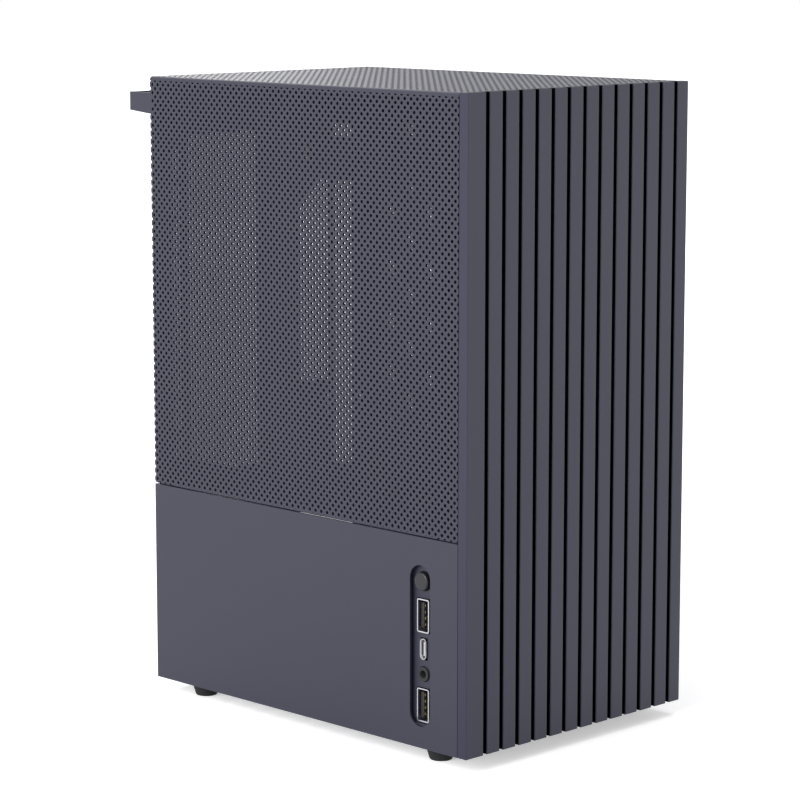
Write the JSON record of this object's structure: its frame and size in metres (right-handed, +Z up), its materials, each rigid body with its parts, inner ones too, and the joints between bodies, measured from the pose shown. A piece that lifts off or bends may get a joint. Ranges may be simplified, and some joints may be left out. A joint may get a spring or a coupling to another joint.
{
  "type": "small form factor computer case",
  "caption": "Upright compact computer case with a slatted front, a lift-off perforated cover, a side port slot and two chambers behind a slotted floor.",
  "frame": {"origin": "on the floor, under the middle of the whole case with its rear rail", "axes": "+Z up, the slatted front towards -Y, the side with the port slot towards -X"},
  "size_m": [0.14, 0.2186, 0.287],
  "materials": {
    "front_finish": "black anodised, fine matt grain",
    "black_sheet": "black powder coat, fine matt grain",
    "black_screw": "black oxide",
    "rubber_foot": "matt",
    "brass_spacer": "turned",
    "board_black": "solder mask",
    "port_steel": "plated",
    "jack_black": "moulded",
    "button_black": "satin"
  },
  "bodies": {
    "chassis": {"front_panel": "front_finish", "front_frame": "black_sheet", "rear_frame": "black_sheet", "rear_io_plate": "black_sheet", "motherboard_tray": "black_sheet", "bottom_tray": "black_sheet", "top_bracket": "black_sheet", "lower_panel_left": "black_sheet", "lower_panel_right": "black_sheet", "rear_top_rail": "black_sheet", "slot_clamp": "black_sheet", "io_bracket": "black_sheet", "panel_screws": "black_screw", "side_panel_screws": "black_screw", "top_screws": "black_screw", "floor_screws": "black_screw", "foot_screws": "black_screw", "port_bracket_screw": "black_screw", "rail_screws": "black_screw", "io_plate_screws": "black_screw", "tray_screws": "black_screw", "clamp_screw": "black_screw", "io_board_screws": "black_screw", "foot_front_left": "rubber_foot", "foot_front_right": "rubber_foot", "foot_rear_left": "rubber_foot", "foot_rear_right": "rubber_foot", "standoffs": "brass_spacer", "io_board": "board_black", "usb_port_upper": "port_steel", "usb_port_lower": "port_steel", "usb_c_port": "port_steel", "audio_jack": "jack_black", "button_switch": "jack_black"},
    "cover": {"mesh_cover": "black_sheet"},
    "button": {"power_button": "button_black"}
  },
  "joints": [
    {"name": "cover_lift", "type": "slide", "parent": "chassis", "child": "cover", "axis": [0, 0, 1], "range_m": [0, 0.2]},
    {"name": "power_button_press", "type": "slide", "parent": "chassis", "child": "button", "axis": [1, 0, 0], "range_m": [0, 0.0012], "stiffness_N_per_m": 800}
  ]
}
